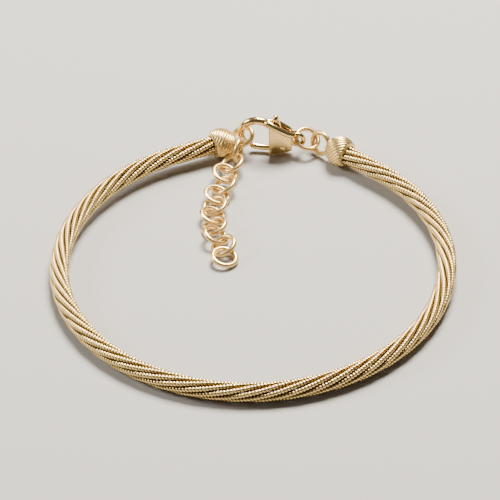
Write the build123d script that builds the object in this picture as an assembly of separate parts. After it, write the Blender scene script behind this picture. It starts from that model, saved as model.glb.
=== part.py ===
from build123d import *
import os
from math import atan, ceil, cos, pi, radians, sin

# Twisted wire bangle with a lobster clasp and an extension chain, lying on its side.
# Millimetres, +Z up. Z = 0 is the surface that it lies on, X runs across the wrist
# opening and Y runs from the front of the bangle to its clasp.

# Driving dimensions of the rope: eight wound strands laid round an oval
OVAL_HALF_WIDTH = 28.5
OVAL_HALF_DEPTH = 27.65
STRAND_COUNT = 8
STRAND_RADIUS = 0.395
LAY_RADIUS = 1.07
ROPE_RADIUS = LAY_RADIUS + STRAND_RADIUS
LAY_LENGTH = 29.8
LAY_START = -2.5
STATION_STEP = 2.0
STRAND_SIDES = 6

# The oval runs from its left tangent point, round the front, to its right one.
# Beyond them both ends of the rope run straight into their caps.
LEFT_TANGENT_ANGLE = 112.0
RIGHT_TANGENT_ANGLE = 407.0
FRONT_ANGLE = 270.0
LEFT_CAP_DISTANCE = 7.2
RIGHT_CAP_DISTANCE = 8.15
STRAND_SEAT = 0.4

# Wound end caps, measured along their own axis from the widest part's middle
CAP_RADIUS = 2.4
CAP_MOUTH = -2.3
CAP_BORE_RADIUS = 1.6
CAP_BORE_END = 0.6
CAP_OUTLINE = (
    (1.95, CAP_MOUTH),
    (2.28, -1.6),
    (CAP_RADIUS, -0.7),
    (2.22, 0.2),
    (1.85, 0.95),
    (1.4, 1.5),
    (1.0, 1.9),
)

# Round wire of the cap loops, the jump ring and the chain links
WIRE_RADIUS = 0.35
LOOP_RADIUS = 1.65
LINK_RADIUS = 1.75
LINK_SIDES = 16
WIRE_SIDES = 6

# Lobster clasp, standing on its edge: sizes in its own plane, from the hook's centre
CLASP_CENTRE = (1.25, 28.85, 3.35)
CLASP_TURN = 9.0
HOOK_RADIUS = 2.6
HOOK_WIRE_RADIUS = 0.62
HOOK_ROOT_ANGLE = 46.0
HOOK_TIP_ANGLE = 216.0
BODY_THICKNESS = 2.5
TAIL_THICKNESS = 1.9
BODY_LEFT = 1.75
BODY_RIGHT = 5.35
BODY_TOP = 2.75
BODY_BOTTOM = -3.05
TAIL_TOP = 0.8
TAIL_BOTTOM = -2.2
CAVITY_WIDTH = 1.3
CAVITY_END = 4.95
EYE_CENTRE = (6.05, -0.45)
EYE_RADIUS = 0.97
PIVOT = (3.9, -1.7)
PIN_RADIUS = 0.4
PIN_HOLE_RADIUS = 0.41
LEVER_HOLE_RADIUS = 0.45
LEVER_THICKNESS = 1.1
GATE_RADIUS = 0.5
NUB_RADIUS = 0.55

# Where each soldered loop and the jump ring lies: centre, and the direction of its axis
LEFT_LOOP = ((-1.145, 28.8, 2.98), (-0.406, -0.28, 0.881))
RIGHT_LOOP = ((10.835, 27.541, 2.336), (0.663, 0.7, -0.265))
JUMP_RING = ((8.779, 28.362, 2.575), (0.298, -0.389, 0.872))

# Each chain link from the left loop to the free end: its centre, and its axis. The first
# one hangs on edge. The others lie on the surface and on each other, leaning by turns.
CHAIN_LINKS = (
    ((-1.796, 26.443, 2.203), (0.954, -0.297, -0.05)),
    ((-2.875, 24.121, 1.507), (-0.411, 0.024, 0.911)),
    ((-3.892, 21.87, 1.372), (0.327, -0.099, 0.94)),
    ((-4.024, 19.267, 1.294), (-0.484, 0.058, 0.873)),
    ((-5.181, 17.021, 1.154), (0.307, -0.081, 0.948)),
    ((-5.554, 14.71, 1.007), (-0.354, -0.032, 0.935)),
    ((-5.863, 12.324, 0.983), (0.351, 0.015, 0.936)),
    ((-5.617, 9.825, 1.033), (-0.384, 0.02, 0.923)),
    ((-5.444, 7.43, 1.267), (0.458, 0.033, 0.888)),
    ((-4.278, 5.105, 1.156), (-0.431, -0.103, 0.897)),
    ((-4.19, 2.772, 0.921), (0.223, -0.093, 0.97)),
)

# The oval's centre is moved so that the whole object's box is centred on the origin
ORIGIN_SHIFT = (0.0, -0.8, 0.0)


# The bangle's plane: its front lies on the rope, its back on the wider caps
def left_end():
    a = radians(LEFT_TANGENT_ANGLE)
    return oval_point(a), -oval_direction(a)


def right_end():
    a = radians(RIGHT_TANGENT_ANGLE)
    return oval_point(a), oval_direction(a)


def oval_point(a):
    return Vector(OVAL_HALF_WIDTH * cos(a), OVAL_HALF_DEPTH * sin(a), 0)


def oval_direction(a):
    return Vector(-OVAL_HALF_WIDTH * sin(a), OVAL_HALF_DEPTH * cos(a), 0).normalized()


RIGHT_TANGENT_POINT, RIGHT_DIRECTION = right_end()
LEFT_TANGENT_POINT, LEFT_DIRECTION = left_end()
RIGHT_CAP_Y = (RIGHT_TANGENT_POINT + RIGHT_DIRECTION * RIGHT_CAP_DISTANCE).Y
RISE = (CAP_RADIUS - ROPE_RADIUS) / (RIGHT_CAP_Y + OVAL_HALF_DEPTH)
PLANE_NORMAL = Vector(0, -RISE, 1).normalized()


def on_plane(p):
    """Lift a point of the flat oval to the bangle's slightly tilted plane."""
    return Vector(p.X, p.Y, ROPE_RADIUS + (p.Y + OVAL_HALF_DEPTH) * RISE)


def lifted(direction):
    return Vector(direction.X, direction.Y, direction.Y * RISE).normalized()


# Faceted solids
def flat_face(points):
    return Face(Wire.make_polygon(points))


def strip(first, second, triangles):
    """Faces between two sections with the same number of points."""
    faces = []
    count = len(first)
    for i in range(count):
        j = (i + 1) % count
        if triangles:
            faces.append(flat_face([first[i], first[j], second[j]]))
            faces.append(flat_face([first[i], second[j], second[i]]))
        else:
            faces.append(flat_face([first[i], first[j], second[j], second[i]]))
    return faces


def round_section(centre, across, up, radius, sides):
    points = []
    for k in range(sides):
        a = 2 * pi * k / sides
        points.append(centre + across * (radius * cos(a)) + up * (radius * sin(a)))
    return points


def ring_link(centre, axis, radius):
    """A closed round link of round wire, drawn with flat facets."""
    axis = Vector(*axis).normalized()
    plane = Plane(origin=centre, z_dir=axis)
    sections = []
    for k in range(LINK_SIDES):
        a = 2 * pi * k / LINK_SIDES
        out = plane.x_dir * cos(a) + plane.y_dir * sin(a)
        sections.append(round_section(plane.origin + out * radius, out, axis, WIRE_RADIUS, WIRE_SIDES))
    faces = []
    for k in range(LINK_SIDES):
        faces += strip(sections[k], sections[(k + 1) % LINK_SIDES], False)
    return Solid(Shell(faces))


# The rope
def rope_stations():
    """Points along the rope's centre line from the left cap to the right one."""
    left_length = LEFT_CAP_DISTANCE + STRAND_SEAT
    right_length = RIGHT_CAP_DISTANCE + STRAND_SEAT
    stations = []
    count = ceil(left_length / STATION_STEP)
    for k in range(count):
        run = left_length * (1 - k / count)
        stations.append((LEFT_TANGENT_POINT + LEFT_DIRECTION * run, -LEFT_DIRECTION))
    sweep_angle = radians(RIGHT_TANGENT_ANGLE - LEFT_TANGENT_ANGLE)
    count = ceil(sweep_angle * OVAL_HALF_WIDTH / STATION_STEP)
    for k in range(count + 1):
        a = radians(LEFT_TANGENT_ANGLE) + sweep_angle * k / count
        stations.append((oval_point(a), oval_direction(a)))
    count = ceil(right_length / STATION_STEP)
    for k in range(1, count + 1):
        run = right_length * k / count
        stations.append((RIGHT_TANGENT_POINT + RIGHT_DIRECTION * run, RIGHT_DIRECTION))
    return [(on_plane(p), lifted(t)) for p, t in stations]


def front_length(stations):
    """Length along the rope at its foremost point, where the twist is set."""
    best = min(range(len(stations)), key=lambda k: stations[k][0].Y)
    return lengths_along(stations)[best] - stations[best][0].X


def lengths_along(stations):
    lengths = [0.0]
    for (a, _), (b, _) in zip(stations, stations[1:]):
        lengths.append(lengths[-1] + (b - a).length)
    return lengths


def strand(number, stations):
    """One wound strand, laid round the rope's centre line as a long screw."""
    lengths = lengths_along(stations)
    front = front_length(stations)
    slope = atan(2 * pi * LAY_RADIUS / LAY_LENGTH)
    sections = []
    for (centre, along), length in zip(stations, lengths):
        turn = 2 * pi * ((length - front) / LAY_LENGTH + number / STRAND_COUNT) + radians(LAY_START)
        outward = along.cross(PLANE_NORMAL).normalized()
        radial = outward * cos(turn) + PLANE_NORMAL * sin(turn)
        tangential = PLANE_NORMAL * cos(turn) - outward * sin(turn)
        across = tangential * cos(slope) - along * sin(slope)
        middle = centre + radial * LAY_RADIUS
        sections.append(round_section(middle, radial, across, STRAND_RADIUS, STRAND_SIDES))
    faces = [flat_face(sections[0]), flat_face(sections[-1])]
    for first, second in zip(sections, sections[1:]):
        faces += strip(first, second, True)
    return Solid(Shell(faces))


# The end caps
def cap_shape():
    """A barrel with a narrow nose, bored from its mouth for the rope; axis along +Z."""
    nose = CAP_OUTLINE[-1][1]
    inside = (
        (0, nose),
        (0, CAP_BORE_END),
        (CAP_BORE_RADIUS, CAP_BORE_END),
        (CAP_BORE_RADIUS, CAP_MOUTH),
    )
    half = Plane.XZ * make_face(Polyline(*CAP_OUTLINE, *inside, close=True))
    return revolve(half, Axis.Z, 360)


def end_cap(middle, direction, loop):
    """A cap on the rope's end with its round loop soldered to the nose."""
    cap = Plane(origin=middle, z_dir=direction) * cap_shape()
    centre, axis = loop
    ring = Plane(origin=centre, z_dir=axis) * Torus(LOOP_RADIUS, WIRE_RADIUS)
    return cap + ring


# The clasp, drawn in its own plane: x along it to the eye, y up, z towards the front
def clasp_plane():
    a = radians(CLASP_TURN)
    return Plane(origin=CLASP_CENTRE, x_dir=(cos(a), -sin(a), 0), z_dir=(-sin(a), -cos(a), 0))


def bar_block(left, right, bottom, top, width):
    centre = ((left + right) / 2, (bottom + top) / 2, 0)
    return Pos(*centre) * Box(right - left, top - bottom, width)


def at_angle(radius, angle):
    return (radius * cos(radians(angle)), radius * sin(radians(angle)))


def clasp_housing():
    """The tapering box of two side walls and a closed tail that holds the lever."""
    corners = [
        (BODY_LEFT, BODY_BOTTOM),
        (BODY_LEFT, BODY_TOP),
        (BODY_LEFT + 0.6, BODY_TOP),
        (BODY_RIGHT, TAIL_TOP),
        (BODY_RIGHT, TAIL_BOTTOM),
    ]
    side = make_face(Polyline(*corners, close=True))
    side = fillet(side.vertices(), 0.3)
    plate = extrude(side, amount=BODY_THICKNESS / 2, both=True)
    half, tail_half = BODY_THICKNESS / 2, TAIL_THICKNESS / 2
    plan = Polyline(
        (BODY_LEFT, -half),
        (BODY_RIGHT, -tail_half),
        (BODY_RIGHT, tail_half),
        (BODY_LEFT, half),
        close=True,
    )
    wedge = extrude(Plane.XZ * make_face(plan), amount=BODY_TOP - BODY_BOTTOM, both=True)
    cavity = bar_block(BODY_LEFT - 1, CAVITY_END, BODY_BOTTOM - 1, BODY_TOP + 1, CAVITY_WIDTH)
    return (plate & wedge) - cavity


def clasp_body():
    """Hook, housing and eye, cast as one piece."""
    web = bar_block(BODY_LEFT, BODY_LEFT + 0.5, 0.2, BODY_TOP - 0.2, CAVITY_WIDTH + 0.1)
    sweep_angle = HOOK_TIP_ANGLE - HOOK_ROOT_ANGLE
    bow = Torus(HOOK_RADIUS, HOOK_WIRE_RADIUS, major_angle=sweep_angle, align=None)
    hook = Rot(0, 0, HOOK_ROOT_ANGLE) * bow
    tip = Pos(*at_angle(HOOK_RADIUS, HOOK_TIP_ANGLE), 0) * Sphere(HOOK_WIRE_RADIUS)
    eye = Pos(*EYE_CENTRE, 0) * Torus(EYE_RADIUS, WIRE_RADIUS)
    body = clasp_housing() + web + hook + tip + eye
    pin_hole = Pos(*PIVOT, 0) * Cylinder(PIN_HOLE_RADIUS, BODY_THICKNESS + 1)
    return clasp_plane() * (body - pin_hole)


def clasp_pin():
    """The rivet that the lever turns on."""
    return clasp_plane() * Pos(*PIVOT, 0) * Cylinder(PIN_RADIUS, BODY_THICKNESS - 0.25)


def clasp_lever():
    """Gate, pivot boss and thumb nub in one piece, turning on the rivet."""
    gate_path = ThreePointArc((-0.88, -2.2), (0.8, -2.45), (2.6, -2.2))
    gate_start = Plane(origin=gate_path @ 0, z_dir=gate_path % 0)
    gate = sweep(gate_start * Circle(GATE_RADIUS), path=gate_path)
    gate_end = Pos(-0.88, -2.2, 0) * Sphere(GATE_RADIUS)
    arm_corners = [
        (2.35, -2.65),
        (4.3, -2.55),
        (4.75, -1.4),
        (3.6, 1.5),
        (3.3, 3.0),
        (2.45, 3.1),
        (2.45, 0.2),
        (2.85, -1.3),
        (2.35, -1.75),
    ]
    arm = extrude(make_face(Polyline(*arm_corners, close=True)), amount=LEVER_THICKNESS / 2, both=True)
    nub = Pos(2.75, 3.3, 0) * Sphere(NUB_RADIUS)
    lever = gate + gate_end + arm + nub
    lever -= Pos(*PIVOT, 0) * Cylinder(LEVER_HOLE_RADIUS, LEVER_THICKNESS + 1)
    return clasp_plane() * lever


def main():
    os.makedirs("parts", exist_ok=True)
    pieces = {}
    stations = rope_stations()
    for number in range(STRAND_COUNT):
        pieces[f"strand_{number + 1}"] = strand(number, stations)
    left_middle = on_plane(LEFT_TANGENT_POINT + LEFT_DIRECTION * LEFT_CAP_DISTANCE)
    right_middle = on_plane(RIGHT_TANGENT_POINT + RIGHT_DIRECTION * RIGHT_CAP_DISTANCE)
    pieces["end_cap_left"] = end_cap(left_middle, lifted(LEFT_DIRECTION), LEFT_LOOP)
    pieces["end_cap_right"] = end_cap(right_middle, lifted(RIGHT_DIRECTION), RIGHT_LOOP)
    pieces["jump_ring"] = ring_link(*JUMP_RING, LINK_RADIUS)
    pieces["clasp_body"] = clasp_body()
    pieces["clasp_pin"] = clasp_pin()
    pieces["clasp_lever"] = clasp_lever()
    for number, (centre, axis) in enumerate(CHAIN_LINKS):
        pieces[f"chain_link_{number + 1}"] = ring_link(centre, axis, LINK_RADIUS)
    for name, piece in pieces.items():
        piece = Pos(*ORIGIN_SHIFT) * piece
        piece.label = name
        export_step(piece, f"parts/{name}.step")
        print(name, round(piece.volume, 3), len(piece.solids()))
    length = lengths_along(stations)[-1]
    print("rope length", round(length, 1), "turns of lay", round(length / LAY_LENGTH, 2))


main()
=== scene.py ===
# %% [markdown]
# # A twisted wire bangle
# The bangle lies on its side: eight ribbed gold strands, two end caps, a lobster clasp
# and a short chain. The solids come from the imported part, which fixes where each piece is
# and how the lever turns. This lesson dresses them for a close picture.

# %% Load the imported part
from math import ceil, cos, hypot, pi, radians, sin, tan

import bmesh
import bpy
import numpy as np
from mathutils import Matrix, Vector
from mathutils.kdtree import KDTree


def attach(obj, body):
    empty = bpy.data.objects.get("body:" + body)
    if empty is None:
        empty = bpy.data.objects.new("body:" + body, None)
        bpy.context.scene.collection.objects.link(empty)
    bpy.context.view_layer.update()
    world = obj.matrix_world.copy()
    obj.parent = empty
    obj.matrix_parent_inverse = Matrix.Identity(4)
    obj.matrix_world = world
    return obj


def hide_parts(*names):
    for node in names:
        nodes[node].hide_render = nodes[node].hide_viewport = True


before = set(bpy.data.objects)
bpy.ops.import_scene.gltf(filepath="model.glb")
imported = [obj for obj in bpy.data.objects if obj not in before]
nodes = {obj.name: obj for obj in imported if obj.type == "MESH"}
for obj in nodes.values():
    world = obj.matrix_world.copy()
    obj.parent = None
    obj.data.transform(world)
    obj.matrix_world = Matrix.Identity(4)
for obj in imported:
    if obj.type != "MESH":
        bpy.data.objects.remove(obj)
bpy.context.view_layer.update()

MM = 0.001
MERGE_DISTANCE = 0.0005
NEARLY_UPRIGHT = 0.01

# %% [markdown]
# ## Small helpers
# Every piece becomes an object that sits at the origin and is told which body of the part
# it rides on. All but the strands are made in a bmesh. Lengths are written in millimetres,
# because that is how a goldsmith measures, and scaled to metres when the mesh is made.


# %% Turn a bmesh into a piece
def piece_from(bm, name, material, body, replaces):
    bmesh.ops.remove_doubles(bm, verts=bm.verts, dist=MERGE_DISTANCE)
    bmesh.ops.recalc_face_normals(bm, faces=bm.faces)
    bmesh.ops.scale(bm, vec=(MM, MM, MM), verts=bm.verts)
    mesh = bpy.data.meshes.new(name)
    bm.to_mesh(mesh)
    bm.free()
    return finish_piece(mesh, name, material, body, replaces)


def finish_piece(mesh, name, material, body, replaces):
    for polygon in mesh.polygons:
        polygon.use_smooth = True
    mesh.materials.clear()
    mesh.materials.append(material)
    piece = bpy.data.objects.new(name, mesh)
    bpy.context.scene.collection.objects.link(piece)
    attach(piece, body)
    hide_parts(*replaces)
    mesh.calc_loop_triangles()
    print(name, len(mesh.loop_triangles), "triangles")
    return piece


def facing(centre, axis):
    """A matrix that puts a shape's own Z on the axis and its X as near as it can to straight up."""
    upward = Vector((0, 0, 1))
    z = Vector(axis).normalized()
    x = upward - z * z.dot(upward)
    if x.length < NEARLY_UPRIGHT:
        x = z.orthogonal()
    x.normalize()
    y = z.cross(x)
    matrix = Matrix((x, y, z)).transposed().to_4x4()
    matrix.translation = Vector(centre)
    return matrix


# %% [markdown]
# ## Gold
# The bangle is brass under a pale yellow gold plate. A metal has no colour of its own
# below the shine: the base colour is the colour of its mirror image, so gold is metallic 1
# with a warm base colour. Roughness sets how sharp that image is, low on the polished clasp
# and higher on the wound wire, whose fine ribs were never polished one by one.


# %% Colours and nodes
def linear(hex_colour):
    """An sRGB hex colour as the linear values that shaders use."""
    values = [int(hex_colour[i:i + 2], 16) / 255 for i in (1, 3, 5)]
    mixed = [v / 12.92 if v <= 0.04045 else ((v + 0.055) / 1.055) ** 2.4 for v in values]
    return (*mixed, 1.0)


def add_node(tree, kind, inputs=None, **settings):
    """Adds a node with its settings. An input is a value, or (node, output name) as a link."""
    node = tree.nodes.new(kind)
    for name, value in settings.items():
        setattr(node, name, value)
    for name, value in (inputs or {}).items():
        if isinstance(value, tuple) and isinstance(value[0], bpy.types.Node):
            tree.links.new(value[0].outputs[value[1]], node.inputs[name])
        else:
            node.inputs[name].default_value = value
    return node


def new_material(name):
    material = bpy.data.materials.new(name)
    material.use_nodes = True
    material.node_tree.nodes.clear()
    return material, material.node_tree


# %% [markdown]
# The wound wire gets two things on top of plain gold. An attribute stored on the mesh paints
# shade: it is 1 at the bottom of each rib and down between two strands, where shade falls, and
# the gold is painted brown there. A fine bump, about as wide as one
# rib, turns each rib's shine a little, so that some sparkle and some go dark.

# %% Gold materials
# The first colour is the gold itself; the two darker ones are painted shade, for the rib roots and the
# gaps between strands.
CREST_GOLD = "#F6D896"
HALF_SHADED_GOLD = "#AE8B4A"
ROOT_SHADE_BROWN = "#47341A"
FACET_SIZE = 0.5
FACET_DEPTH = 0.12
RIPPLE_SIZE = 1.2
RIPPLE_DEPTH = 0.1


def wound_gold():
    """Gold plated brass wire, wound by machine: satin crests, with painted brown shade in the windings."""
    material, tree = new_material("wound_gold_plated_wire")
    tarnish = add_node(tree, "ShaderNodeAttribute", attribute_name="tarnish")
    colour = add_node(tree, "ShaderNodeValToRGB", {"Fac": (tarnish, "Fac")})
    ramp = colour.color_ramp
    ramp.elements[0].position = 0.1
    ramp.elements[0].color = linear(CREST_GOLD)
    ramp.elements[1].position = 0.95
    ramp.elements[1].color = linear(ROOT_SHADE_BROWN)
    middle = ramp.elements.new(0.5)
    middle.color = linear(HALF_SHADED_GOLD)
    place = add_node(tree, "ShaderNodeTexCoord")
    facets = add_node(tree, "ShaderNodeTexNoise",
                      {"Vector": (place, "Object"), "Scale": 1 / (FACET_SIZE * MM), "Detail": 1.0})
    bump = add_node(tree, "ShaderNodeBump",
                    {"Height": (facets, "Fac"), "Strength": 0.4, "Distance": FACET_DEPTH * MM})
    shader = add_node(tree, "ShaderNodeBsdfPrincipled",
                      {"Base Color": (colour, "Color"), "Metallic": 1.0, "Roughness": 0.3,
                       "Normal": (bump, "Normal")})
    add_node(tree, "ShaderNodeOutputMaterial", {"Surface": (shader, "BSDF")})
    return material


def plain_gold(name, colour, roughness, ripple):
    """Gold plated brass: a clear mirror image, broken slightly by the hand finish under it."""
    material, tree = new_material(name)
    place = add_node(tree, "ShaderNodeTexCoord")
    waves = add_node(tree, "ShaderNodeTexNoise",
                     {"Vector": (place, "Object"), "Scale": 1 / (RIPPLE_SIZE * MM), "Detail": 2.0})
    bump = add_node(tree, "ShaderNodeBump",
                    {"Height": (waves, "Fac"), "Strength": ripple, "Distance": RIPPLE_DEPTH * MM})
    shader = add_node(tree, "ShaderNodeBsdfPrincipled",
                      {"Base Color": linear(colour), "Metallic": 1.0, "Roughness": roughness,
                       "Normal": (bump, "Normal")})
    add_node(tree, "ShaderNodeOutputMaterial", {"Surface": (shader, "BSDF")})
    return material


wire_material = wound_gold()
cap_material = plain_gold("satin_gold_plate", "#F0D08A", 0.34, 0.25)
clasp_material = plain_gold("polished_gold_plate", "#E9C67F", 0.2, 0.15)
chain_material = plain_gold("satin_gold_plated_links", "#EDCB87", 0.33, 0.2)
print("materials", [m.name for m in (wire_material, cap_material, clasp_material, chain_material)])

# %% [markdown]
# ## The rope's centre line
# The bangle is an oval with two short straight ends that run into the caps. It lies on the
# front of the rope and on the wider caps behind, so its plane leans back by one degree.
# The centre line uses the same numbers as the solids, so the strands follow the same route.

# %% Oval, straight ends and tilt
SHIFT_Y = -0.8
OVAL_HALF_WIDTH = 28.5
OVAL_HALF_DEPTH = 27.65
ROPE_RADIUS = 1.465
CAP_RADIUS = 2.4
LEFT_TANGENT_ANGLE = 112.0
RIGHT_TANGENT_ANGLE = 407.0
LEFT_CAP_DISTANCE = 7.2
RIGHT_CAP_DISTANCE = 8.15
STRAND_SEAT = 0.4
STATION_STEP = 0.5


def oval_point(angle):
    return Vector((OVAL_HALF_WIDTH * cos(angle), OVAL_HALF_DEPTH * sin(angle), 0))


def oval_direction(angle):
    return Vector((-OVAL_HALF_WIDTH * sin(angle), OVAL_HALF_DEPTH * cos(angle), 0)).normalized()


left_point = oval_point(radians(LEFT_TANGENT_ANGLE))
left_direction = -oval_direction(radians(LEFT_TANGENT_ANGLE))
right_point = oval_point(radians(RIGHT_TANGENT_ANGLE))
right_direction = oval_direction(radians(RIGHT_TANGENT_ANGLE))
right_cap_y = (right_point + right_direction * RIGHT_CAP_DISTANCE).y
RISE = (CAP_RADIUS - ROPE_RADIUS) / (right_cap_y + OVAL_HALF_DEPTH)
plane_normal = Vector((0, -RISE, 1)).normalized()


def on_plane(point):
    return Vector((point.x, point.y + SHIFT_Y, ROPE_RADIUS + (point.y + OVAL_HALF_DEPTH) * RISE))


def lifted(direction):
    return Vector((direction.x, direction.y, direction.y * RISE)).normalized()


def rope_stations(step):
    """Places along the rope, each a point and the rope's direction there."""
    places = []
    run = LEFT_CAP_DISTANCE + STRAND_SEAT
    count = ceil(run / step)
    for k in range(count):
        places.append((left_point + left_direction * (run * (1 - k / count)), -left_direction))
    turn = radians(RIGHT_TANGENT_ANGLE - LEFT_TANGENT_ANGLE)
    count = ceil(turn * OVAL_HALF_WIDTH / step)
    for k in range(count + 1):
        angle = radians(LEFT_TANGENT_ANGLE) + turn * k / count
        places.append((oval_point(angle), oval_direction(angle)))
    run = RIGHT_CAP_DISTANCE + STRAND_SEAT
    count = ceil(run / step)
    for k in range(1, count + 1):
        places.append((right_point + right_direction * (run * k / count), right_direction))
    return [(on_plane(point), lifted(direction)) for point, direction in places]


stations = rope_stations(STATION_STEP)
distances = [0.0]
for (before, _), (after, _) in zip(stations, stations[1:]):
    distances.append(distances[-1] + (after - before).length)
front = min(range(len(stations)), key=lambda k: stations[k][0].y)
front_distance = distances[front] - stations[front][0].x
print("rope length in mm", round(distances[-1], 1), "places", len(stations))

# %% [markdown]
# ## Wound strands
# Each strand is a thin wire wound tightly round a core, so it shows as a screw of small
# round ribs. It could be a smooth tube with a bump pattern, but the ribs break the outline
# of the bangle and catch the light one by one, so they are modelled. A wave one rib long is
# turned by the Screw modifier into a long threaded rod, which the Curve modifier then lays
# along the strand's own path round the rope.

# %% One strand's path
STRAND_COUNT = 8
STRAND_RADIUS = 0.4
LAY_RADIUS = 1.065
LAY_LENGTH = 29.8
LAY_START = -2.5
RIB_PITCH = 0.49
RIB_DEPTH = 0.12
RIB_SIDES = 10


def strand_path(number):
    points = []
    for (centre, along), distance in zip(stations, distances):
        turns = (distance - front_distance) / LAY_LENGTH + number / STRAND_COUNT
        turn = 2 * pi * turns + radians(LAY_START)
        outward = along.cross(plane_normal).normalized()
        points.append(centre + (outward * cos(turn) + plane_normal * sin(turn)) * LAY_RADIUS)
    return points


def path_curve(name, points):
    curve = bpy.data.curves.new(name, "CURVE")
    curve.dimensions = "3D"
    line = curve.splines.new("POLY")
    line.points.add(len(points) - 1)
    for place, point in zip(line.points, points):
        place.co = (*(point * MM), 1)
    path = bpy.data.objects.new(name, curve)
    bpy.context.scene.collection.objects.link(path)
    return path


# %% The threaded rod, laid along the path
RIB_WAVE = ((0.0, 0.0), (0.14, 0.6), (0.32, 0.93), (0.5, 1.0), (0.68, 0.93), (0.86, 0.6), (1.0, 0.0))
JOIN_DISTANCE = 0.002

# Painted shade between the strands: none farther than the first distance below from the rope's centre,
# full at the sunk depth inside it; the last number is the painted shade in the rib roots.
UNSHADED_DISTANCE = 1.38
SUNK_DEPTH = 0.36
ROOT_SHADE_SHARE = 0.7


def rib_profile():
    """One rib seen from the side: up from the root, over a round crest and down again."""
    bm = bmesh.new()
    verts = []
    for along, height in RIB_WAVE:
        radius = STRAND_RADIUS - RIB_DEPTH * (1 - height)
        verts.append(bm.verts.new((radius * MM, 0, along * RIB_PITCH * MM)))
    for a, b in zip(verts, verts[1:]):
        bm.edges.new((a, b))
    mesh = bpy.data.meshes.new("rib_profile")
    bm.to_mesh(mesh)
    bm.free()
    return mesh


def nearest_on(path):
    """Finds the nearest place of a path, as its number."""
    tree = KDTree(len(path))
    for k, point in enumerate(path):
        tree.insert(point, k)
    tree.balance()
    return lambda point: tree.find(point)[1]


def distance_from(path, directions, find, point):
    """How far a point is from a line that is given as points and directions."""
    k = find(point)
    away = point - path[k]
    return (away - directions[k] * away.dot(directions[k])).length


rope_points = [point for point, _ in stations]
rope_directions = [direction for _, direction in stations]
find_on_rope = nearest_on(rope_points)


def add_painted_shade(mesh, path):
    """Stores painted shade: 0 on the outer crests, rising to 1 in the rib roots and between the strands.
    """
    directions = [(b - a).normalized() for a, b in zip(path, path[1:])]
    directions.append(directions[-1])
    find_on_strand = nearest_on(path)
    tarnish = mesh.attributes.new("tarnish", "FLOAT", "POINT")
    for vert, value in zip(mesh.vertices, tarnish.data):
        point = vert.co / MM
        root = (STRAND_RADIUS - distance_from(path, directions, find_on_strand, point)) / RIB_DEPTH
        from_centre = distance_from(rope_points, rope_directions, find_on_rope, point)
        sunk = (UNSHADED_DISTANCE - from_centre) / SUNK_DEPTH
        root = min(max(root, 0.0), 1.0)
        sunk = min(max(sunk, 0.0), 1.0)
        value.value = 1 - (1 - ROOT_SHADE_SHARE * root) * (1 - sunk)


def wound_strand(number):
    points = strand_path(number)
    length = sum((b - a).length for a, b in zip(points, points[1:]))
    path = path_curve("strand_path", points)
    rod = bpy.data.objects.new("threaded_rod", rib_profile())
    bpy.context.scene.collection.objects.link(rod)
    screw = rod.modifiers.new("thread", "SCREW")
    screw.axis = "Z"
    screw.screw_offset = RIB_PITCH * MM
    screw.iterations = round(length / RIB_PITCH)
    screw.steps = screw.render_steps = RIB_SIDES
    weld = rod.modifiers.new("join_turns", "WELD")
    weld.merge_threshold = JOIN_DISTANCE * MM
    bend = rod.modifiers.new("lay", "CURVE")
    bend.object = path
    bend.deform_axis = "POS_Z"
    bpy.context.view_layer.update()
    shaped = rod.evaluated_get(bpy.context.evaluated_depsgraph_get())
    mesh = bpy.data.meshes.new_from_object(shaped)
    bpy.data.objects.remove(rod)
    bpy.data.objects.remove(path)
    close_ends(mesh)
    add_painted_shade(mesh, points)
    name = f"strand_{number + 1}"
    return finish_piece(mesh, f"wound_{name}", wire_material, "bangle", [name])


def close_ends(mesh):
    bm = bmesh.new()
    bm.from_mesh(mesh)
    bmesh.ops.holes_fill(bm, edges=[e for e in bm.edges if e.is_boundary], sides=0)
    bmesh.ops.recalc_face_normals(bm, faces=bm.faces)
    bm.to_mesh(mesh)
    bm.free()


for number in range(STRAND_COUNT):
    wound_strand(number)

# %% [markdown]
# ## End caps
# Each end of the rope is held in a barrel cap that is itself wound with plain wire, laid
# side by side at a slant. The barrel is a half outline spun round the axis. One wire is a
# row of small circles, bridged one to the next over the barrel, and the same route is
# turned round the axis for each of the other wires.

# %% Barrel, slanted wires and loop
CAP_CORE = (
    (1.5, -2.0),
    (1.66, -1.98),
    (1.95, -1.6),
    (2.14, -1.05),
    (2.2, -0.5),
    (2.08, 0.1),
    (1.75, 0.8),
    (1.35, 1.3),
    (0.95, 1.65),
    (0.5, 1.88),
    (0.0, 1.92),
)
CAP_WIRE_COUNT = 20
CAP_WIRE_RADIUS = 0.22
CAP_WIRE_PATH = (
    (1.6, -1.85),
    (1.88, -1.58),
    (2.08, -1.05),
    (2.16, -0.5),
    (2.06, 0.1),
    (1.76, 0.76),
    (1.38, 1.25),
    (1.0, 1.58),
)
# Near the nose a wire thins with its distance from the axis: a share at the axis, and its growth per mm
CAP_WIRE_THIN = 0.2
CAP_WIRE_GROWTH = 0.42
CAP_WIRE_SLANT = 50.0
CAP_WIRE_SIDES = 8
LOOP_RADIUS = 1.65
LINK_WIRE_RADIUS = 0.375
RING_STEPS = 40
WIRE_SIDES = 14
LEFT_LOOP = ((-1.145, 28.8, 2.98), (-0.406, -0.28, 0.881))
RIGHT_LOOP = ((10.835, 27.541, 2.336), (0.663, 0.7, -0.265))


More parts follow.
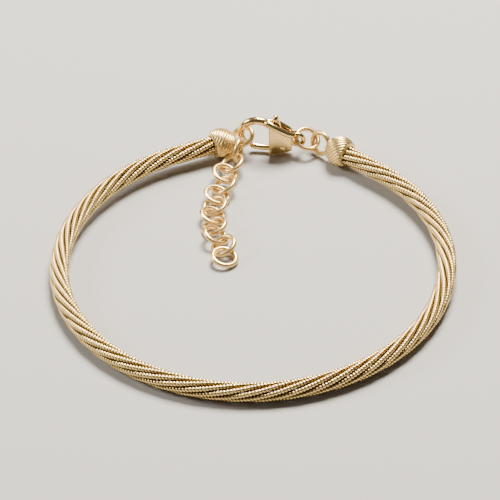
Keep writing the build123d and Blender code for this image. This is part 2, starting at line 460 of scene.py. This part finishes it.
def add_ring(bm, centre, axis, radius, wire_radius):
    """A round ring of round wire: a small circle spun once round the ring's axis."""
    upright = Matrix.Rotation(pi / 2, 4, "X")
    section = bmesh.ops.create_circle(bm, segments=WIRE_SIDES, radius=wire_radius, matrix=upright)
    verts = section["verts"]
    bmesh.ops.translate(bm, verts=verts, vec=(radius, 0, 0))
    edges = list({e for v in verts for e in v.link_edges})
    spun = bmesh.ops.spin(bm, geom=verts + edges, cent=(0, 0, 0), axis=(0, 0, 1), angle=2 * pi,
                          steps=RING_STEPS, use_merge=True)
    ring = [g for g in spun["geom_last"] if isinstance(g, bmesh.types.BMVert)]
    bmesh.ops.transform(bm, matrix=facing(centre, axis), verts=connected(ring[0]))


def connected(start):
    """All the verts that hang together with one vert."""
    seen, waiting = {start}, [start]
    while waiting:
        for edge in waiting.pop().link_edges:
            for vert in edge.verts:
                if vert not in seen:
                    seen.add(vert)
                    waiting.append(vert)
    return list(seen)


def edges_of(ring):
    return [e for e in {e for v in ring for e in v.link_edges} if all(v in ring for v in e.verts)]


def add_tube(bm, points, radii, sides):
    """A round wire along a few points: a circle aimed along the wire at each, bridged in turn."""
    rings = []
    for k, (point, radius) in enumerate(zip(points, radii)):
        before = points[max(k - 1, 0)]
        after = points[min(k + 1, len(points) - 1)]
        frame_here = facing(point, after - before)
        made = bmesh.ops.create_circle(bm, segments=sides, radius=radius, matrix=frame_here)
        rings.append(made["verts"])
    for first, second in zip(rings, rings[1:]):
        bmesh.ops.bridge_loops(bm, edges=edges_of(first) + edges_of(second))
    for ring in (rings[0], rings[-1]):
        bm.faces.new(ring)


def cap_wire_points():
    points, angle = [], 0.0
    for k, (radius, height) in enumerate(CAP_WIRE_PATH):
        if k:
            last_radius, last_height = CAP_WIRE_PATH[k - 1]
            run = hypot(radius - last_radius, height - last_height)
            angle -= run * tan(radians(CAP_WIRE_SLANT)) / ((radius + last_radius) / 2)
        points.append(Vector((radius * cos(angle), radius * sin(angle), height)))
    return points


def end_cap(name, node, middle, direction, loop):
    bm = bmesh.new()
    outline = [bm.verts.new((radius, 0, height)) for radius, height in CAP_CORE]
    edges = [bm.edges.new(pair) for pair in zip(outline, outline[1:])]
    bmesh.ops.spin(bm, geom=outline + edges, cent=(0, 0, 0), axis=(0, 0, 1), angle=2 * pi,
                   steps=RING_STEPS, use_merge=True)
    points = cap_wire_points()
    radii = [CAP_WIRE_RADIUS * min(1.0, CAP_WIRE_THIN + CAP_WIRE_GROWTH * hypot(p.x, p.y)) for p in points]
    for k in range(CAP_WIRE_COUNT):
        turned = [Matrix.Rotation(2 * pi * k / CAP_WIRE_COUNT, 3, "Z") @ p for p in points]
        add_tube(bm, turned, radii, CAP_WIRE_SIDES)
    bmesh.ops.transform(bm, matrix=facing(middle, direction), verts=bm.verts)
    centre, axis = loop
    add_ring(bm, (centre[0], centre[1] + SHIFT_Y, centre[2]), axis, LOOP_RADIUS, LINK_WIRE_RADIUS)
    return piece_from(bm, name, cap_material, "bangle", [node])


left_middle = on_plane(left_point + left_direction * LEFT_CAP_DISTANCE)
right_middle = on_plane(right_point + right_direction * RIGHT_CAP_DISTANCE)
end_cap("wound_end_cap_left", "end_cap_left", left_middle, lifted(left_direction), LEFT_LOOP)
end_cap("wound_end_cap_right", "end_cap_right", right_middle, lifted(right_direction), RIGHT_LOOP)

# %% [markdown]
# ## Chain links
# The links are rings of round wire. The solids are drawn with flat facets, so each is
# replaced by a smooth ring in the same place. The place is measured from the solid: its
# middle is the average of its points, and its axis is the direction in which they spread
# least.

# %% Smooth links in the solids' places
LINK_RADIUS = 1.75
LINK_COUNT = 11


def ring_place(node):
    places = np.array([v.co for v in nodes[node].data.vertices]) / MM
    places = np.unique(places.round(4), axis=0)
    centre = places.mean(axis=0)
    axis = np.linalg.svd(places - centre, full_matrices=False)[2][2]
    return Vector(centre), Vector(axis)


def smooth_link(name, node):
    centre, axis = ring_place(node)
    bm = bmesh.new()
    add_ring(bm, centre, axis, LINK_RADIUS, LINK_WIRE_RADIUS)
    return piece_from(bm, name, chain_material, "bangle", [node])


for number in range(1, LINK_COUNT + 1):
    smooth_link(f"round_link_{number}", f"chain_link_{number}")
smooth_link("round_jump_ring", "jump_ring")

# %% [markdown]
# ## The clasp
# A lobster clasp is cast in one piece: a hook, a narrow housing with two side walls, and an
# eye at its end. Castings have no sharp edge anywhere, so every plate is extruded and its
# edges are then bevelled. The hook splits into two round rims that run down the walls, one
# on each side of the slot. All of it is drawn in the clasp's own plane, x along it to the
# eye, y up and z to the front, and is set in place at the end.

# %% The clasp's own plane
CLASP_CENTRE = Vector((1.25, 28.85 + SHIFT_Y, 3.35))
CLASP_TURN = radians(9.0)
HOOK_RADIUS = 2.6
WALL_INSIDE = 0.45
WALL_OUTSIDE = 1.15
PIVOT = Vector((3.9, -1.7, 0))
clasp_x = Vector((cos(CLASP_TURN), -sin(CLASP_TURN), 0))
clasp_y = Vector((0, 0, 1))
clasp_place = Matrix((clasp_x, clasp_y, clasp_x.cross(clasp_y))).transposed().to_4x4()
clasp_place.translation = CLASP_CENTRE


def add_plate(bm, outline, low, high, rounding):
    """A flat plate with rounded edges: an outline, extruded and bevelled."""
    verts = [bm.verts.new((x, y, low)) for x, y in outline]
    made = bmesh.ops.extrude_face_region(bm, geom=[bm.faces.new(verts)])
    top = [v for v in made["geom"] if isinstance(v, bmesh.types.BMVert)]
    bmesh.ops.translate(bm, verts=top, vec=(0, 0, high - low))
    edges = list({e for v in verts + top for e in v.link_edges})
    bmesh.ops.bevel(bm, geom=edges, offset=rounding, segments=3, profile=0.5, affect="EDGES",
                    material=-1, clamp_overlap=True)


def add_ball(bm, centre, half_sizes):
    made = bmesh.ops.create_uvsphere(bm, u_segments=20, v_segments=12, radius=1.0)
    bmesh.ops.scale(bm, vec=half_sizes, verts=made["verts"])
    bmesh.ops.translate(bm, vec=centre, verts=made["verts"])


def on_hook(angle):
    return Vector((HOOK_RADIUS * cos(radians(angle)), HOOK_RADIUS * sin(radians(angle)), 0.0))


# %% Body: hook, rims, walls, tail and eye
WALL_OUTLINE = ((1.8, -3.0), (1.8, 2.3), (2.6, 2.35), (5.3, 0.75), (5.35, -2.05), (4.9, -2.3))
TAIL_OUTLINE = ((4.95, -2.1), (4.95, 0.85), (5.3, 0.7), (5.32, -2.0))
WEB_OUTLINE = ((1.8, 0.3), (1.8, 2.4), (2.2, 2.4), (2.2, 0.3))
WALL_ROUNDING = 0.2
INNER_HALF_THICKNESS = 0.6
INNER_ROUNDING = 0.1
NEAR_RIM = (
    (1.1, 2.35, 0.0),
    (1.75, 2.35, 0.35),
    (2.4, 2.25, 0.7),
    (3.3, 1.8, 0.86),
    (4.6, 1.05, 0.8),
    (5.4, 0.6, 0.55),
    (6.05, 0.45, 0.15),
)
FAR_RIM = (
    (1.1, 2.35, 0.0),
    (1.75, 2.3, -0.4),
    (2.5, 2.2, -0.75),
    (3.4, 1.7, -0.8),
    (4.6, 1.0, -0.75),
    (5.4, 0.58, -0.5),
    (6.05, 0.48, -0.15),
)
NEAR_RIM_RADII = (0.58, 0.56, 0.53, 0.52, 0.48, 0.42, 0.34)
FAR_RIM_RADII = (0.5, 0.45, 0.42, 0.41, 0.39, 0.35, 0.32)
TAPER_START = 1.75
TAPER_LENGTH = 3.6
TAPER_SHARE = 0.2
HOOK_ROOT_ANGLE = 46
HOOK_SWEEP = 170
HOOK_STEPS = 28
HOOK_WIRE_RADIUS = 0.62
HOOK_WIRE_TAPER = 0.1
HOOK_SIDES = 16
TIP_ANGLES = (218, 222, 225, 226.5)
TIP_RADII = [0.5, 0.42, 0.27, 0.08]
EYE_CENTRE = (6.05, -0.45, 0)
EYE_RADIUS = 0.97


def narrowed(bm):
    """Makes the housing taper towards its tail, seen from above."""
    for vert in bm.verts:
        run = min(max((vert.co.x - TAPER_START) / TAPER_LENGTH, 0.0), 1.0)
        vert.co.z *= 1 - TAPER_SHARE * run


bm = bmesh.new()
add_plate(bm, WALL_OUTLINE, WALL_INSIDE, WALL_OUTSIDE, WALL_ROUNDING)
add_plate(bm, WALL_OUTLINE, -WALL_OUTSIDE, -WALL_INSIDE, WALL_ROUNDING)
for outline in (TAIL_OUTLINE, WEB_OUTLINE):
    add_plate(bm, outline, -INNER_HALF_THICKNESS, INNER_HALF_THICKNESS, INNER_ROUNDING)
narrowed(bm)
add_tube(bm, [Vector(p) for p in NEAR_RIM], NEAR_RIM_RADII, WIRE_SIDES)
add_tube(bm, [Vector(p) for p in FAR_RIM], FAR_RIM_RADII, WIRE_SIDES)
hook_angles = [HOOK_ROOT_ANGLE + HOOK_SWEEP * k / HOOK_STEPS for k in range(HOOK_STEPS + 1)]
hook_radii = [HOOK_WIRE_RADIUS - HOOK_WIRE_TAPER * (k / HOOK_STEPS) ** 2 for k in range(HOOK_STEPS + 1)]
hook = [on_hook(angle) for angle in (*hook_angles, *TIP_ANGLES)]
add_tube(bm, hook, hook_radii + TIP_RADII, HOOK_SIDES)
add_ring(bm, EYE_CENTRE, (0, 0, 1), EYE_RADIUS, LINK_WIRE_RADIUS)
bmesh.ops.transform(bm, matrix=clasp_place, verts=bm.verts)
piece_from(bm, "cast_clasp_body", clasp_material, "bangle", ["clasp_body"])

# %% Lever: gate, boss, arm and thumb nub
GATE = (
    (-1.33, -2.1, 0),
    (-1.25, -2.11, 0),
    (-1.05, -2.16, 0),
    (-0.7, -2.24, 0),
    (0.0, -2.38, 0),
    (0.8, -2.45, 0),
    (1.7, -2.38, 0),
    (2.6, -2.2, 0),
    (3.15, -1.95, 0),
)
GATE_RADII = (0.1, 0.28, 0.42, 0.48, 0.49, 0.48, 0.46, 0.4, 0.34)
ARM_OUTLINE = ((2.95, -1.1), (4.4, -1.15), (3.75, 1.5), (3.25, 2.9), (2.5, 2.9), (2.55, 0.4))
ARM_HALF_THICKNESS = 0.3
ARM_ROUNDING = 0.12
BOSS_RADIUS = 0.65
BOSS_WIRE_RADIUS = 0.2
NUB_CENTRE = (2.78, 3.15, 0)
NUB_HALF_SIZES = (0.5, 0.7, 0.6)

bm = bmesh.new()
add_tube(bm, [Vector(p) for p in GATE], GATE_RADII, WIRE_SIDES)
add_plate(bm, ARM_OUTLINE, -ARM_HALF_THICKNESS, ARM_HALF_THICKNESS, ARM_ROUNDING)
add_ring(bm, PIVOT, (0, 0, 1), BOSS_RADIUS, BOSS_WIRE_RADIUS)
add_ball(bm, NUB_CENTRE, NUB_HALF_SIZES)
bmesh.ops.transform(bm, matrix=clasp_place, verts=bm.verts)
piece_from(bm, "cast_clasp_lever", clasp_material, "lever", ["clasp_lever"])

# %% Rivet, its two heads just proud of the walls
RIVET_RADIUS = 0.4
RIVET_LENGTH = 2.2
RIVET_ROUNDING = 0.12
LEVEL = 0.01

bm = bmesh.new()
bmesh.ops.create_cone(bm, cap_ends=True, segments=24, radius1=RIVET_RADIUS,
                      radius2=RIVET_RADIUS, depth=RIVET_LENGTH)
rims = [e for e in bm.edges if abs(e.verts[0].co.z - e.verts[1].co.z) < LEVEL]
bmesh.ops.bevel(bm, geom=rims, offset=RIVET_ROUNDING, segments=3, profile=0.5, affect="EDGES", material=-1)
bmesh.ops.translate(bm, vec=PIVOT, verts=bm.verts)
bmesh.ops.transform(bm, matrix=clasp_place, verts=bm.verts)
piece_from(bm, "clasp_rivet", clasp_material, "bangle", ["clasp_pin"])

# %% [markdown]
# ## Floor, light and camera
# A plain pale floor, one large soft lamp above and behind, and a weak fill from the left.
# The camera stands where the picture was taken from: a long lens, about half a metre
# away and forty degrees above the floor.

# %% Floor and lamps
FLOOR_COLOUR = "#ACA9A4"
FLOOR_HALF_SIZE = 1.5
LAMP_ABOVE = ((0.08, 0.26, 0.48), 0.24, 14.0, "#FFF9EF")
LAMP_LEFT = ((-0.5, 0.1, 0.3), 0.2, 3.0, "#FFFDF8")
ROOM_COLOUR = "#B9BCC2"
ROOM_STRENGTH = 0.2


def pale_floor():
    material, tree = new_material("pale_matt_paper")
    shader = add_node(tree, "ShaderNodeBsdfPrincipled",
                      {"Base Color": linear(FLOOR_COLOUR), "Roughness": 0.85})
    add_node(tree, "ShaderNodeOutputMaterial", {"Surface": (shader, "BSDF")})
    bm = bmesh.new()
    bmesh.ops.create_grid(bm, x_segments=1, y_segments=1, size=FLOOR_HALF_SIZE)
    mesh = bpy.data.meshes.new("floor")
    bm.to_mesh(mesh)
    bm.free()
    mesh.materials.append(material)
    floor = bpy.data.objects.new("floor", mesh)
    bpy.context.scene.collection.objects.link(floor)


def soft_lamp(name, place, size, power, colour):
    lamp = bpy.data.lights.new(name, "AREA")
    lamp.shape = "SQUARE"
    lamp.size = size
    lamp.energy = power
    lamp.color = linear(colour)[:3]
    holder = bpy.data.objects.new(name, lamp)
    holder.location = place
    holder.rotation_mode = "QUATERNION"
    holder.rotation_quaternion = (-Vector(place)).to_track_quat("-Z", "Y")
    bpy.context.scene.collection.objects.link(holder)


pale_floor()
soft_lamp("soft_lamp_above", *LAMP_ABOVE)
soft_lamp("soft_lamp_left", *LAMP_LEFT)

world = bpy.data.worlds.new("studio")
world.use_nodes = True
background = world.node_tree.nodes["Background"]
background.inputs["Color"].default_value = linear(ROOM_COLOUR)
background.inputs["Strength"].default_value = ROOM_STRENGTH
bpy.context.scene.world = world

# %% Camera
CAMERA_PLACE = Vector((-0.4, -392.84 + SHIFT_Y, 334.66)) * MM
CAMERA_FORWARD = Vector((0.0, 0.7655, -0.6434)).normalized()
CAMERA_UP = Vector((0.024, 0.64324, 0.76529))
LENS_MM = 252.0

camera_data = bpy.data.cameras.new("camera")
camera_data.sensor_width = 36.0
camera_data.lens = LENS_MM
camera_data.clip_start = 0.05
camera_data.clip_end = 10.0
camera = bpy.data.objects.new("camera", camera_data)
side = CAMERA_FORWARD.cross(CAMERA_UP).normalized()
upright = side.cross(CAMERA_FORWARD)
camera.matrix_world = Matrix((side, upright, -CAMERA_FORWARD)).transposed().to_4x4()
camera.location = CAMERA_PLACE
bpy.context.scene.collection.objects.link(camera)
bpy.context.scene.camera = camera
print("camera distance in mm", round(CAMERA_PLACE.length / MM))
